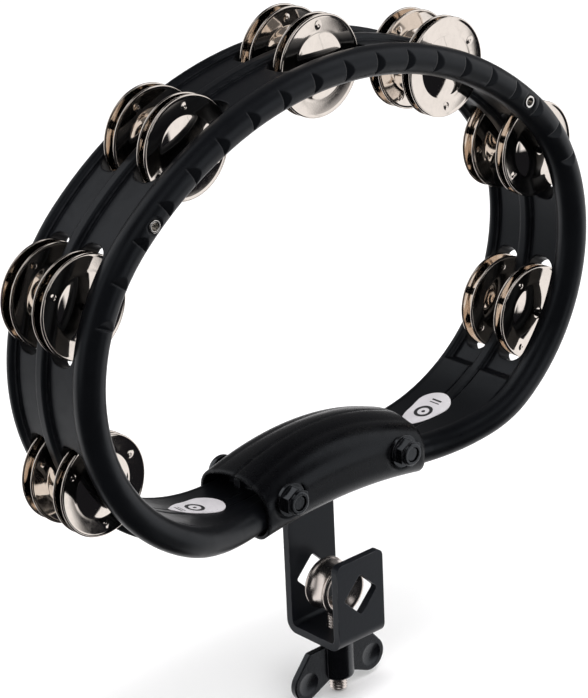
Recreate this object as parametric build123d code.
from build123d import *
import math
import os

# Crescent tambourine with two rows of jingles on a rod clamp, in mm. The origin is the
# centre of the clamp's eye: Y runs along the rod, front at -Y, and Z runs up to the hoop.

# Hoop centreline, as (centre x, centre z, radius, last bearing) of each arc from the top
TOP = (0.0, 87.0, 188.7, 42.77)
SIDE_RADIUS = 95.8
SIDE_END = 146.87
CORNER_RADIUS = 106.0
CORNER_END = 188.0

# Frame across its width
RIM_RADIUS = 7.5
RIM_Y = -18.5
HANDLE_RIM_Y = -3.0
SWING_START = 115.5
SWING_END = 45.0
SWING_BEARINGS = (SIDE_END, 171.0, 184.0)
WEB_HALF = 4.5
STEP_HALF = 5.8
PAD_HALF = 7.3
PAD_TOP = 82.0
GROOVE_DEPTH = 0.8
RIB_HALF = 7.5
MID_RIB = (5.5, 12.0)
MID_STEP = (4.7, 12.8)
REAR_RIB = (28.4, 34.6)
REAR_STEP = (27.8, 33.0)
WEB_Y = (-15.0, 31.0)

# Jingles: bearings round the hoop, rows and disc planes
STATIONS = [0.0, 26.4, 64.0, 120.2]
STATION_INSET = 1.7
ROW_Y = {"front": -2.95, "rear": 20.4}
PAIR_HALF = 2.6
JINGLE_RADIUS = 25.0
JINGLE_BORE = 2.0
JINGLE_SHEET = 0.8
DOME_RADIUS = 15.5
DOME_HEIGHT = 2.6
PIN_RADIUS = 1.5
WINDOW_HALF_LENGTH = 28.5
WINDOW_CORNER = 6.5
WINDOW_ROWS = ((RIM_Y + RIM_RADIUS - 0.6, MID_STEP[0]), (MID_STEP[1], REAR_STEP[0]))

# Grip notches and tubular rivets on the front rim
NOTCH_PITCH = 20.0
NOTCH_EACH_SIDE = 9
NOTCH_DEPTH = 2.2
NOTCH_LENGTH = 5.0
NOTCH_TURN = -1.0
RIVET_BEARING = 39.8
RIVET_RADIUS = 3.1
RIVET_BORE = 2.0
RIVET_LENGTH = 8.0
RIVET_SUNK = 1.0
RECESS_RADIUS = 4.4

# Handle cover
COVER_HALF_LENGTH = 53.0
COVER_WALL = 1.6
PARTING_Y = 10.5
PARTING_GAP = 0.3
BOLT_X = 38.4
BOLT_Z = 66.3
BOLT_RADIUS = 4.0
BOLT_HOLE = 4.15
NUT_SEAT_Y = -12.6
HEAD_SEAT_Y = 36.2
SEAT_RADIUS = 10.0

LABEL_LENGTH = 33.0
LABEL_WIDTH = 20.0
LABEL_SHEET = 0.3
LABEL_BEARING = 168.0
LABEL_Y = 12.0

# Clamp bracket
BRACKET_HALF_WIDTH = 15.8
PLATE_INNER_Y = 15.5
PLATE = 4.0
FRONT_PLATE_TOP = 22.2
BRACKET_BOTTOM = -26.0
OUTER_BEND = 6.5
INNER_BEND = 2.5
HEAD_HALF_WIDTH = 46.0
HEAD_Z = (59.5, 73.0)
DIAMOND_HALF = 11.5
DIAMOND_Z = 2.0
FIT_GAP = 0.3

# Eye bolt and wing nut
EYE_OUTER = 13.9
EYE_WAIST = 12.7
EYE_BORE = 7.6
EYE_FLARE = 10.8
EYE_LENGTH = 15.6
EYE_LAND = 8.0
SHANK_RADIUS = 4.5
SHANK_END = -58.5
SHANK_HOLE = 4.9
NUT_RADIUS = 8.6
NUT_BOTTOM = -50.8
WING_TIP = (22.0, -47.3, 9.0)
WING_CORNER = (19.0, -33.6, 2.5)
WING_HALF = 1.9
DISH_RADIUS = 20.0
DISH_DEPTH = 1.0


def bearing_vector(bearing):
    """Unit x and z of a direction given in degrees clockwise from straight up."""
    angle = math.radians(bearing)
    return math.sin(angle), math.cos(angle)


def next_centre(centre, radius, next_radius, bearing):
    """Centre of the arc that carries on smoothly from one that ends at a bearing."""
    x, z = bearing_vector(bearing)
    return centre[0] + (radius - next_radius) * x, centre[1] + (radius - next_radius) * z


top_centre, top_radius, top_end = TOP[:2], TOP[2], TOP[3]
side_centre = next_centre(top_centre, top_radius, SIDE_RADIUS, top_end)
corner_centre = next_centre(side_centre, SIDE_RADIUS, CORNER_RADIUS, SIDE_END)
handle_radius = -corner_centre[0] / bearing_vector(CORNER_END)[0] - CORNER_RADIUS
handle_centre = next_centre(corner_centre, CORNER_RADIUS, -handle_radius, CORNER_END)


def hoop_point(bearing, offset=0.0):
    """Point (x, z) of the right half of the hoop outline at a bearing, moved outwards."""
    x, z = bearing_vector(bearing)
    if bearing <= top_end:
        centre, radius = top_centre, top_radius
    elif bearing <= SIDE_END:
        centre, radius = side_centre, SIDE_RADIUS
    else:
        centre, radius = corner_centre, CORNER_RADIUS
    return centre[0] + (radius + offset) * x, centre[1] + (radius + offset) * z


def handle_point(x, offset=0.0):
    """Point (x, z) of the bowed handle between the two corners."""
    radius = handle_radius - offset
    return x, handle_centre[1] + math.sqrt(radius**2 - x**2)


def bearing_at(length):
    """Bearing of the outline at an arc length from the top."""
    top_length = top_radius * math.radians(top_end)
    if length <= top_length:
        return math.degrees(length / top_radius)
    return top_end + math.degrees((length - top_length) / SIDE_RADIUS)


def arc_through(points, y):
    """Circular arc through three (x, z) points in the plane of a y."""
    return ThreePointArc(*[(x, y, z) for x, z in points])


def mirrored(points):
    return [(-x, z) for x, z in reversed(points)]


def hoop_arcs(offset):
    """Points of the side and corner arcs of the right half."""
    spans = [(top_end, SIDE_END), (SIDE_END, CORNER_END)]
    arcs = []
    for start, end in spans:
        middle = (start + end) / 2
        points = [hoop_point(start + 1e-9, offset), hoop_point(middle, offset), hoop_point(end, offset)]
        arcs.append(points)
    return arcs


def hoop_face(offset, y):
    """Flat face inside the closed hoop outline moved outwards by an offset."""
    crown = [mirrored([hoop_point(top_end, offset)])[0], hoop_point(0, offset), hoop_point(top_end, offset)]
    right = hoop_arcs(offset)
    corner = right[-1][-1]
    handle = [corner, handle_point(0, offset), (-corner[0], corner[1])]
    left = [mirrored(points) for points in reversed(right)]
    arcs = [arc_through(points, y) for points in [crown, *right, handle, *left]]
    return Face(Wire(arcs))


def hoop_layer(outer, inner, y_range):
    """Layer that follows the hoop from one offset in to another, between two y planes."""
    start, end = y_range
    return extrude(hoop_face(outer, start) - hoop_face(inner, start), amount=end - start, dir=(0, 1, 0))


def hoop_band(half, y_range):
    return hoop_layer(half, -half, y_range)


def round_band(half, y_range, radius):
    band = hoop_band(half, y_range)
    return fillet(band.edges().filter_by(Axis.Y, reverse=True), radius)


def rim_y(x):
    """Plane of the front rim, which draws back towards the narrow handle."""
    share = (SWING_START - abs(x)) / (SWING_START - SWING_END)
    share = min(max(share, 0.0), 1.0)
    return RIM_Y + (HANDLE_RIM_Y - RIM_Y) * share * share * (3 - 2 * share)


def swing_places():
    """Points (x, y, z) and directions of the right half of the swung-back front rim."""
    places = []
    for bearing in SWING_BEARINGS:
        x, z = hoop_point(bearing)
        out_x, out_z = bearing_vector(bearing)
        slope = rim_y(x - 0.5) - rim_y(x + 0.5)
        places.append((Vector(x, rim_y(x), z), Vector(out_z, -slope * out_z, -out_x).normalized()))
    x, z = handle_point(0)
    places.append((Vector(x, HANDLE_RIM_Y, z), Vector(-1, 0, 0)))
    return places


def smooth_pair(start, start_way, end, end_way):
    """Two arcs in space that join two points and leave and meet them in given directions."""
    span = end - start
    ways = start_way + end_way
    a = 2 * (1 - start_way.dot(end_way))
    b = 2 * span.dot(ways)
    reach = (math.sqrt(b * b + 4 * a * span.dot(span)) - b) / (2 * a)
    first = start + start_way * reach
    second = end - end_way * reach
    middle = (first + second) * 0.5
    return [TangentArc(start, middle, tangent=start_way), TangentArc(middle, end, tangent=second - first)]


def rim_length(path):
    return sweep(Plane(path @ 0, z_dir=path % 0) * Circle(RIM_RADIUS), path=path)


def both_sides(paths):
    """Lengths of the round rim along some paths of the right half, and their mirror images."""
    lengths = []
    for path in paths:
        length = rim_length(path)
        lengths += [length, mirror(length, about=Plane.YZ)]
    return lengths


def swung_rim():
    """The round front rim round the corners and handle, each length a part of a torus."""
    paths = []
    places = swing_places()
    for start, end in zip(places, places[1:]):
        paths += smooth_pair(*start, *end)
    return both_sides(paths)


def upper_rim():
    """The round front rim over the crown and down both sides."""
    crown = [(-hoop_point(top_end)[0], hoop_point(top_end)[1]), hoop_point(0), hoop_point(top_end)]
    side = [hoop_point(top_end), hoop_point((top_end + SIDE_END) / 2), hoop_point(SIDE_END)]
    return [rim_length(arc_through(crown, RIM_Y)), *both_sides([arc_through(side, RIM_Y)])]


def station_plane(bearing, side=1):
    """Plane across the hoop at a bearing: local x outwards, local y along Y."""
    x, z = hoop_point(bearing, -STATION_INSET)
    out_x, out_z = bearing_vector(bearing)
    return Plane((side * x, 0, z), x_dir=(0, 1, 0), z_dir=(side * out_x, 0, out_z))


def stations():
    """Name and plane of every jingle station, from the lower left round to the right."""
    found = []
    for bearing in reversed(STATIONS[1:]):
        found.append(station_plane(bearing, -1))
    for bearing in STATIONS:
        found.append(station_plane(bearing))
    return [(f"{index + 1}", plane) for index, plane in enumerate(found)]


def window(plane, y_range):
    """Cutter of one jingle window: a slot with round ends, through the web."""
    start, end = y_range
    slot = RectangleRounded(end - start, 2 * WINDOW_HALF_LENGTH, WINDOW_CORNER)
    slot = plane * Pos((start + end) / 2, 0, 0) * slot
    return extrude(slot, amount=3 * RIM_RADIUS, both=True)


def notch(length):
    """Cutter of one grip notch: a wedge with its step towards the top's left."""
    side = 1 if length >= 0 else -1
    bearing = bearing_at(abs(length))
    x, z = hoop_point(bearing)
    turn = side * bearing
    wedge = Polygon((0, 0), (0, 6), (NOTCH_LENGTH, 6), (NOTCH_LENGTH, NOTCH_DEPTH), align=None)
    block = extrude(wedge, amount=2 * RIM_RADIUS, both=True)
    place = Pos(side * x, RIM_Y, z) * Rot(0, turn, 0) * Rot(NOTCH_TURN, 0, 0)
    return place * Rot(180, 0, 0) * Pos(-NOTCH_LENGTH / 2, RIM_RADIUS - NOTCH_DEPTH, 0) * block


def along_y(radius, start, end, x, z):
    """Cylinder along Y between two planes."""
    circle = Plane((x, start, z), x_dir=(1, 0, 0), z_dir=(0, 1, 0)) * Circle(radius)
    return extrude(circle, amount=end - start)


def pin_spans():
    return {"front": (RIM_Y - 1, MID_RIB[0] + 2), "rear": (MID_RIB[1] - 2, REAR_RIB[0] + 3)}


def jingle_pins(radius):
    pins = []
    for _, plane in stations():
        for start, end in pin_spans().values():
            pins.append(along_y(radius, start, end, plane.origin.X, plane.origin.Z))
    return pins


def rivet_places():
    x, z = hoop_point(RIVET_BEARING)
    front = RIM_Y - RIM_RADIUS
    return [(side * x, front, z) for side in (-1, 1)]


def handle_core():
    """Solid grip core above the rims, under the crown of the cover."""
    half, top, crown, low = 44.0, 80.5, 121.0, 59.5
    side_z = top - crown + math.sqrt(crown**2 - half**2)
    outline = Wire(
        [
            ThreePointArc((-half, 0, side_z), (0, 0, top), (half, 0, side_z)),
            Line((half, 0, side_z), (half, 0, low)),
            Line((half, 0, low), (-half, 0, low)),
            Line((-half, 0, low), (-half, 0, side_z)),
        ]
    )
    core = extrude(Pos(0, -3, 0) * Face(outline), amount=29, dir=(0, 1, 0))
    return fillet(core.edges().filter_by(GeomType.CIRCLE), 8)


def web_trim():
    """What the web loses in front where the rim draws back to the handle."""
    right = [(place.X, place.Y) for place, _ in swing_places()]
    points = right + [(-x, y) for x, y in reversed(right[:-1])]
    edge = Spline(*points, tangents=[(-1, 0), (-1, 0)])
    ends = Polyline(points[-1], (points[-1][0], -40), (points[0][0], -40), points[0])
    face = make_face(edge.edges() + ends.edges())
    return Pos(0, 0, 40) * extrude(face, amount=hoop_point(SIDE_END)[1] - 40 + 2, dir=(0, 0, 1))


def handle_pad():
    """Raised inside face of the web from one lower window round the handle to the other."""
    pad = hoop_layer(1 - WEB_HALF, -PAD_HALF, WEB_Y)
    for y_range in ((MID_STEP[0], MID_RIB[0]), (MID_RIB[1], MID_STEP[1])):
        pad -= hoop_layer(GROOVE_DEPTH - PAD_HALF, -RIB_HALF, y_range)
    pad &= Pos(0, 0, PAD_TOP) * Box(400, 200, 100, align=(Align.CENTER, Align.CENTER, Align.MAX))
    return pad - web_trim()


def hoop_frame():
    frame = hoop_band(WEB_HALF, WEB_Y) - web_trim()
    for length in swung_rim() + upper_rim():
        frame += length
    frame += hoop_band(STEP_HALF, MID_STEP)
    frame += hoop_band(STEP_HALF, REAR_STEP)
    for _, plane in stations():
        for y_range in WINDOW_ROWS:
            frame -= window(plane, y_range)
    frame += round_band(RIB_HALF, MID_RIB, 1.6)
    frame += round_band(RIB_HALF, REAR_RIB, 3.0)
    frame += handle_pad()
    frame += handle_core()
    for step in range(-NOTCH_EACH_SIDE, NOTCH_EACH_SIDE + 1):
        frame -= notch(step * NOTCH_PITCH)
    for x, front, z in rivet_places():
        frame -= along_y(RECESS_RADIUS, front - 1, front + RIVET_SUNK, x, z)
        frame -= along_y(RIVET_RADIUS, front, front + RIVET_LENGTH, x, z)
    for pin in jingle_pins(PIN_RADIUS):
        frame -= pin
    for side in (-1, 1):
        frame -= along_y(BOLT_HOLE, -30, 45, side * BOLT_X, BOLT_Z)
    return frame - bracket_slot()


def bracket_slot():
    """Room for the bracket's T-shaped head inside the handle."""
    low, high = HEAD_Z
    depth = PLATE + 2 * FIT_GAP
    width = 2 * (HEAD_HALF_WIDTH + FIT_GAP)
    head = Pos(0, PLATE_INNER_Y + PLATE / 2, high + FIT_GAP)
    slot = head * Box(width, depth, high + FIT_GAP - 30, align=(Align.CENTER, Align.CENTER, Align.MAX))
    return slot


def jingle(bore=JINGLE_BORE):
    """Dished disc with a domed middle towards +Z of its own frame."""
    sheet = JINGLE_SHEET
    inner = 5.0
    top = [
        Line((JINGLE_RADIUS, 0), (JINGLE_RADIUS, sheet)),
        Line((JINGLE_RADIUS, sheet), (DOME_RADIUS, sheet)),
        ThreePointArc((DOME_RADIUS, sheet), (11.0, sheet + 1.75), (inner, sheet + DOME_HEIGHT)),
        Line((inner, sheet + DOME_HEIGHT), (bore, sheet + DOME_HEIGHT)),
        Line((bore, sheet + DOME_HEIGHT), (bore, DOME_HEIGHT)),
        Line((bore, DOME_HEIGHT), (inner, DOME_HEIGHT)),
        ThreePointArc((inner, DOME_HEIGHT), (10.8, 1.7), (DOME_RADIUS - 0.4, 0)),
        Line((DOME_RADIUS - 0.4, 0), (JINGLE_RADIUS, 0)),
    ]
    profile = make_face([Plane.XZ * edge for edge in top])
    return revolve(profile, axis=Axis.Z)


def place_jingle(disc, plane, y, outward):
    """Disc on a station's pin with its dome towards -Y or +Y."""
    turn = Rot(90, 0, 0) if outward < 0 else Rot(-90, 0, 0)
    return Pos(plane.origin.X, y, plane.origin.Z) * turn * disc


def tubular_rivet():
    bushes = []
    for x, front, z in rivet_places():
        start = front + RIVET_SUNK - 0.7
        bush = along_y(RIVET_RADIUS, start, front + RIVET_LENGTH, x, z)
        bush -= along_y(RIVET_BORE, start - 1, front + RIVET_LENGTH - 1, x, z)
        bushes.append(fillet(bush.edges().filter_by(GeomType.CIRCLE).sort_by(Axis.Y)[:2], 0.3))
    return bushes


def cover_section(x, inset):
    """Rounded cross-section of the handle cover at an x, moved inwards by an inset."""
    share = (x / COVER_HALF_LENGTH) ** 2
    front, rear = -13.6 + inset, 37.0 - inset
    bottom = 51.9 - 4.7 * share + inset
    crown = 87.4 - 10.6 * share - inset
    low_front, low_rear = 9.5 - inset, 5.5 - inset
    shoulder = 14.5 - 3.5 * share - inset
    rise = 3.0
    lean = 0.29289
    edges = [
        Line((front, crown - rise - shoulder), (front, bottom + low_front)),
        ThreePointArc(
            (front, bottom + low_front),
            (front + lean * low_front, bottom + lean * low_front),
            (front + low_front, bottom),
        ),
        Line((front + low_front, bottom), (rear - low_rear, bottom)),
        ThreePointArc(
            (rear - low_rear, bottom),
            (rear - lean * low_rear, bottom + lean * low_rear),
            (rear, bottom + low_rear),
        ),
        Line((rear, bottom + low_rear), (rear, crown - rise - shoulder)),
        ThreePointArc(
            (rear, crown - rise - shoulder),
            (rear - lean * shoulder, crown - rise - lean * shoulder),
            (rear - shoulder, crown - rise + 0.6),
        ),
        ThreePointArc(
            (rear - shoulder, crown - rise + 0.6),
            ((front + rear) / 2, crown),
            (front + shoulder, crown - rise + 0.6),
        ),
        ThreePointArc(
            (front + shoulder, crown - rise + 0.6),
            (front + lean * shoulder, crown - rise - lean * shoulder),
            (front, crown - rise - shoulder),
        ),
    ]
    return Plane((x, 0, 0), x_dir=(0, 1, 0), z_dir=(1, 0, 0)) * make_face(edges)


def cover_body(inset, overrun):
    half = COVER_HALF_LENGTH + overrun
    places = [-half, -half * 0.5, 0, half * 0.5, half]
    return loft([cover_section(x, inset) for x in places])


def cover_half(front):
    """One half shell of the handle cover."""
    shell = cover_body(0, 0) - cover_body(COVER_WALL, 3)
    y = PARTING_Y - PARTING_GAP / 2 if front else PARTING_Y + PARTING_GAP / 2
    keep = Align.MAX if front else Align.MIN
    shell &= Pos(0, y, 60) * Box(200, 100, 200, align=(Align.CENTER, keep, Align.CENTER))
    for side in (-1, 1):
        x = side * BOLT_X
        if front:
            shell -= along_y(SEAT_RADIUS, -30, NUT_SEAT_Y, x, BOLT_Z)
        else:
            shell -= along_y(SEAT_RADIUS, HEAD_SEAT_Y, 60, x, BOLT_Z)
        shell -= along_y(BOLT_HOLE, -40, 60, x, BOLT_Z)
    if not front:
        slot = Pos(0, PLATE_INNER_Y + PLATE / 2, 60)
        width = 2 * (BRACKET_HALF_WIDTH + FIT_GAP)
        slot *= Box(width, PLATE + 2 * FIT_GAP, 30, align=(Align.CENTER, Align.CENTER, Align.MAX))
        shell -= slot
    return shell


def hexagon_nut(x):
    """Flanged lock nut on the front of one cover bolt."""
    base = NUT_SEAT_Y
    flange = along_y(8.4, base - 1.6, base, x, BOLT_Z)
    sides = Plane((x, base - 1.0, BOLT_Z), x_dir=(0, 0, 1), z_dir=(0, -1, 0)) * RegularPolygon(7.5, 6)
    hexagon = extrude(sides, amount=5.4)
    hexagon &= fillet(along_y(7.4, base - 8, base, x, BOLT_Z).edges().sort_by(Axis.Y)[0], 0.6)
    collar = along_y(5.9, base - 8.0, base - 6.0, x, BOLT_Z)
    collar = fillet(collar.edges().filter_by(GeomType.CIRCLE).sort_by(Axis.Y)[0], 0.8)
    nut = flange + hexagon + collar
    return nut - along_y(BOLT_RADIUS, -40, 0, x, BOLT_Z)


def cover_bolt(x):
    """Round-headed bolt from the rear shell through to the nut."""
    shank = along_y(BOLT_RADIUS, NUT_SEAT_Y - 7.2, HEAD_SEAT_Y, x, BOLT_Z)
    shank = chamfer(shank.edges().filter_by(GeomType.CIRCLE).sort_by(Axis.Y)[0], 0.6)
    head = along_y(8.0, HEAD_SEAT_Y, HEAD_SEAT_Y + 4.6, x, BOLT_Z)
    head = fillet(head.edges().filter_by(GeomType.CIRCLE).sort_by(Axis.Y)[-1], 3.4)
    socket = Plane((x, HEAD_SEAT_Y + 2, BOLT_Z), x_dir=(0, 0, 1), z_dir=(0, 1, 0)) * RegularPolygon(2.9, 6)
    return shank + head - extrude(socket, amount=4)


def diamond(y):
    """Square hole stood on its corner, through a plate from a y."""
    points = [(0, DIAMOND_HALF), (DIAMOND_HALF, 0), (0, -DIAMOND_HALF), (-DIAMOND_HALF, 0)]
    square = fillet(Polygon(*points, align=None).vertices(), 1.5)
    face = Plane((0, y, DIAMOND_Z), x_dir=(-1, 0, 0), z_dir=(0, 1, 0)) * square
    return extrude(face, amount=PLATE + 2, dir=(0, 1, 0))


def clamp_bracket():
    """U of bent strip whose long rear arm ends in a T-shaped head inside the handle."""
    half = BRACKET_HALF_WIDTH
    outer_y = PLATE_INNER_Y + PLATE
    low, high = HEAD_Z
    outer = [(-outer_y, FRONT_PLATE_TOP), (-outer_y, BRACKET_BOTTOM), (outer_y, BRACKET_BOTTOM), (outer_y, high)]
    inner = [
        (PLATE_INNER_Y, high),
        (PLATE_INNER_Y, BRACKET_BOTTOM + PLATE),
        (-PLATE_INNER_Y, BRACKET_BOTTOM + PLATE),
        (-PLATE_INNER_Y, FRONT_PLATE_TOP),
    ]
    side = make_face(Polyline(*outer, *inner, close=True).edges())
    strip = extrude(Plane.YZ * side, amount=half, both=True)
    for z, radius in ((BRACKET_BOTTOM, OUTER_BEND), (BRACKET_BOTTOM + PLATE, INNER_BEND)):
        bends = strip.edges().filter_by(Axis.X).filter_by_position(Axis.Z, z - 0.01, z + 0.01)
        strip = fillet(bends, radius)
    corners = strip.edges().filter_by(Axis.Y)
    corners = corners.filter_by_position(Axis.Z, FRONT_PLATE_TOP - 0.01, FRONT_PLATE_TOP + 0.01)
    strip = fillet(corners, 3.8)
    head = Pos(0, PLATE_INNER_Y + PLATE / 2, (low + high) / 2) * Box(2 * HEAD_HALF_WIDTH, PLATE, high - low)
    strip += fillet(head.edges().filter_by(Axis.Y), 4.0)
    strip -= diamond(-outer_y - 1)
    strip -= diamond(PLATE_INNER_Y - 1)
    strip -= Pos(0, 0, BRACKET_BOTTOM) * Cylinder(SHANK_HOLE, 4 * PLATE)
    for side in (-1, 1):
        strip -= along_y(BOLT_HOLE, 0, 40, side * BOLT_X, BOLT_Z)
    return strip


def eye_bolt():
    """Eye with a waisted barrel and a flared bore, on a threaded shank."""
    half, land = EYE_LENGTH / 2, EYE_LAND / 2
    edges = [
        Line((EYE_OUTER, half), (EYE_FLARE, half)),
        Line((EYE_FLARE, half), (EYE_BORE, land)),
        Line((EYE_BORE, land), (EYE_BORE, -land)),
        Line((EYE_BORE, -land), (EYE_FLARE, -half)),
        Line((EYE_FLARE, -half), (EYE_OUTER, -half)),
        Line((EYE_OUTER, -half), (EYE_OUTER, -half + 2)),
        ThreePointArc((EYE_OUTER, -half + 2), (EYE_WAIST, 0), (EYE_OUTER, half - 2)),
        Line((EYE_OUTER, half - 2), (EYE_OUTER, half)),
    ]
    eye = revolve(make_face(edges), axis=Axis.Y)
    shank = Pos(0, 0, SHANK_END) * Cylinder(
        SHANK_RADIUS, -SHANK_END - EYE_BORE - 1, align=(Align.CENTER, Align.CENTER, Align.MIN)
    )
    shank = chamfer(shank.edges().filter_by(GeomType.CIRCLE).sort_by(Axis.Z)[0], 0.8)
    return eye + shank - along_y(EYE_BORE, -land, land, 0, 0)


def wing_nut():
    """Long round hub with two flat round wings, along X."""
    hub_top = BRACKET_BOTTOM
    hub = Pos(0, 0, NUT_BOTTOM) * Cylinder(
        NUT_RADIUS, hub_top - NUT_BOTTOM, align=(Align.CENTER, Align.CENTER, Align.MIN)
    )
    hub = fillet(hub.edges().filter_by(GeomType.CIRCLE).sort_by(Axis.Z)[0], 2.2)
    tip_x, tip_z, tip_radius = WING_TIP
    corner_x, corner_z, corner_radius = WING_CORNER
    outline = [
        *(Pos(tip_x, tip_z) * Circle(tip_radius)).edges(),
        *(Pos(corner_x, corner_z) * Circle(corner_radius)).edges(),
        Line((0, corner_z + corner_radius), (0, NUT_BOTTOM + 3.5)),
    ]
    wing = extrude(Plane.XZ * make_hull(outline), amount=WING_HALF, both=True)
    for face in (-1, 1):
        dish_y = face * (WING_HALF + DISH_RADIUS - DISH_DEPTH)
        wing -= Pos(tip_x, dish_y, tip_z) * Sphere(DISH_RADIUS)
    wing = fillet(wing.edges().filter_by(Axis.Y, reverse=True).filter_by_position(Axis.X, 12, 40), 0.6)
    hub += wing + mirror(wing, about=Plane.YZ)
    return hub - Pos(0, 0, -60) * Cylinder(SHANK_RADIUS + 0.05, 100)


def label(side):
    """Blank pick-shaped label that follows the inside of the hoop beside the cover."""
    half, blunt = LABEL_WIDTH / 2, LABEL_LENGTH / 2
    points = [(-0.9 * blunt, -0.2 * half), (0.1 * blunt, -0.92 * half), (0.55 * blunt, -half)]
    points += [(blunt, 0), (0.55 * blunt, half), (0.1 * blunt, 0.92 * half), (-0.9 * blunt, 0.2 * half)]
    outline = Spline(*points, tangents=[(1, -0.85), (-1, -0.85)])
    tip = ThreePointArc(points[-1], (-blunt, 0), points[0])
    face = make_face([outline, tip])
    x, z = hoop_point(LABEL_BEARING)
    out_x, out_z = bearing_vector(LABEL_BEARING)
    plane = Plane((side * x, LABEL_Y, z), x_dir=(0, 1, 0), z_dir=(-side * out_x, 0, -out_z))
    cutter = extrude(plane * Rot(0, 0, -90) * face, amount=4 * RIM_RADIUS)
    return cutter & hoop_layer(-RIB_HALF, -RIB_HALF - LABEL_SHEET, (0, 2 * LABEL_Y))


def write(name, solids):
    shape = solids if not isinstance(solids, list) else Compound(children=solids)
    shape.label = name
    export_step(shape, f"parts/{name}.step")


def main():
    os.makedirs("parts", exist_ok=True)
    write("hoop_frame", hoop_frame())
    disc = jingle()
    for name, plane in stations():
        for row, y in ROW_Y.items():
            write(f"jingle_{row}_{name}_a", place_jingle(disc, plane, y - PAIR_HALF, -1))
            write(f"jingle_{row}_{name}_b", place_jingle(disc, plane, y + PAIR_HALF, 1))
    write("jingle_pins", jingle_pins(PIN_RADIUS))
    write("tubular_rivets", tubular_rivet())
    write("front_cover", cover_half(True))
    write("rear_cover", cover_half(False))
    write("cover_bolts", [cover_bolt(side * BOLT_X) for side in (-1, 1)])
    write("lock_nuts", [hexagon_nut(side * BOLT_X) for side in (-1, 1)])
    write("clamp_bracket", clamp_bracket())
    write("eye_bolt", eye_bolt())
    write("wing_nut", wing_nut())
    write("label_left", label(-1))
    write("label_right", label(1))


main()
